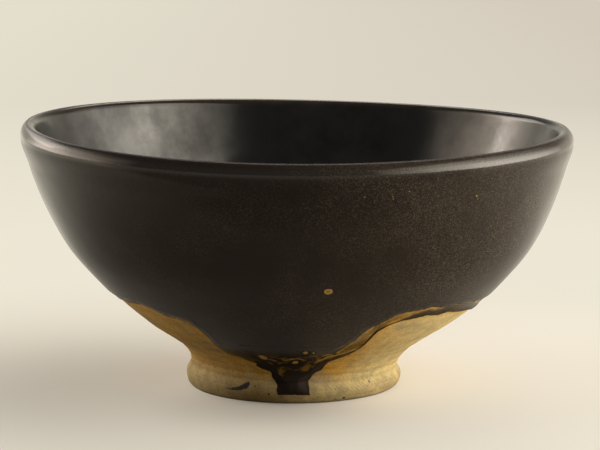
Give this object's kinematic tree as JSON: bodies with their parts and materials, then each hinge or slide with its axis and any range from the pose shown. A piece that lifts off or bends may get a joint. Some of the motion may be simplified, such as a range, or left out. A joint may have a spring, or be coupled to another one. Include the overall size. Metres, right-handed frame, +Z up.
{
  "type": "tea bowl",
  "caption": "Wheel-thrown stoneware tea bowl on a turned foot ring, with a poured liner glaze, two overlapping outer glaze coats and a glaze run down the foot.",
  "frame": {"origin": "centre of the bounding box's bottom face: under the middle of the rim, on the plane that the foot ring stands on", "axes": "+Z up along the bowl's axis, -Y towards the side with the glaze run"},
  "size_m": [0.1298, 0.1298, 0.0632],
  "materials": {
    "bare_stoneware": "unglazed ochre stoneware, turned, with fine turning rings and scorched patches",
    "liner_glaze": "glossy black iron glaze",
    "first_dip_glaze": "thin amber to dark brown iron glaze",
    "second_dip_glaze": "satin brown-black iron glaze with fine gold speckle",
    "glaze_run": "thick glossy black glaze"
  },
  "bodies": {
    "root": {"stoneware_body": "bare_stoneware", "liner_glaze": "liner_glaze", "first_dip_glaze": "first_dip_glaze", "second_dip_glaze": "second_dip_glaze", "glaze_run": "glaze_run"}
  },
  "joints": []
}
